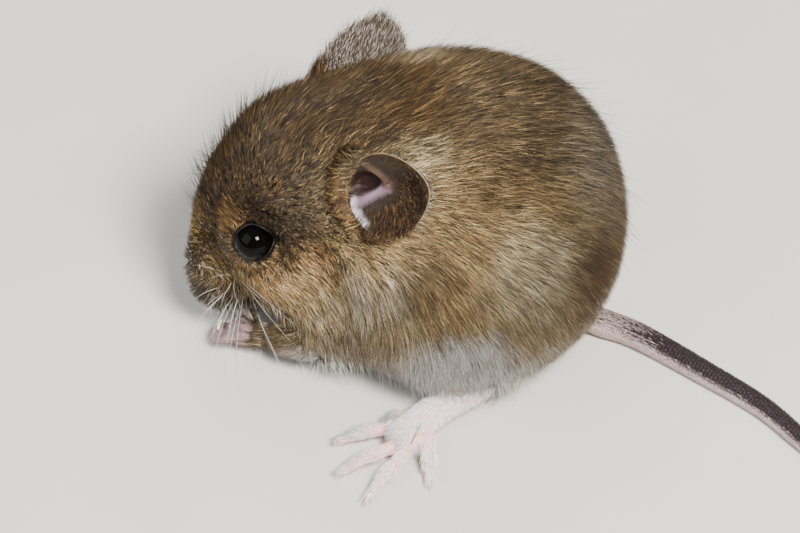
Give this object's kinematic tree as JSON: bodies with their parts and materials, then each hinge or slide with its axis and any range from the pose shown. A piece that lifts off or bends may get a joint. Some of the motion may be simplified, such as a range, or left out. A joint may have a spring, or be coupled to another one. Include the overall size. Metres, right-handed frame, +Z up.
{
  "type": "wood mouse, a long-tailed field mouse, life-size still model",
  "caption": "Life-size still model of a young wood mouse, hunched on its hind feet with the nose down over raised forepaws and a long tail laid in an easy curve behind it.",
  "frame": {"origin": "middle of the whole animal's footprint box, on the floor it rests on", "axes": "+X forward from the tail to the nose, +Y to the animal's left, +Z up"},
  "size_m": [0.0888, 0.0534, 0.0337],
  "materials": {
    "brown_coat": "golden brown fur with dark tips, close lying, darker along the back and greyer over the rump",
    "pale_coat": "off-white fur of the throat and lower lip with grey roots",
    "eye": "wet, glossy black",
    "ear_skin": "thin dark skin with fine hair, paler rim",
    "nose_skin": "moist, finely grained bare pink skin",
    "foot_skin": "pink skin under short white hair",
    "tail_skin": "finely ringed scaly skin, dark above and pale below, with short hair",
    "claw": "pale translucent horn"
  },
  "bodies": {
    "root": {"head": "brown_coat", "snout": "brown_coat", "jaw": "pale_coat", "nose": "nose_skin", "neck": "brown_coat", "trunk": "brown_coat", "eye_left": "eye", "ear_left": "ear_skin", "thigh_left": "brown_coat", "hind_foot_left": "foot_skin", "foreleg_left": "brown_coat", "forepaw_left": "foot_skin", "hind_claw_left_1": "claw", "hind_claw_left_2": "claw", "hind_claw_left_3": "claw", "hind_claw_left_4": "claw", "hind_claw_left_5": "claw", "fore_claw_left_1": "claw", "fore_claw_left_2": "claw", "fore_claw_left_3": "claw", "fore_claw_left_4": "claw", "eye_right": "eye", "ear_right": "ear_skin", "thigh_right": "brown_coat", "hind_foot_right": "foot_skin", "foreleg_right": "brown_coat", "forepaw_right": "foot_skin", "hind_claw_right_1": "claw", "hind_claw_right_2": "claw", "hind_claw_right_3": "claw", "hind_claw_right_4": "claw", "hind_claw_right_5": "claw", "fore_claw_right_1": "claw", "fore_claw_right_2": "claw", "fore_claw_right_3": "claw", "fore_claw_right_4": "claw", "tail_base": "tail_skin", "tail_middle": "tail_skin", "tail_tip": "tail_skin"}
  },
  "joints": []
}
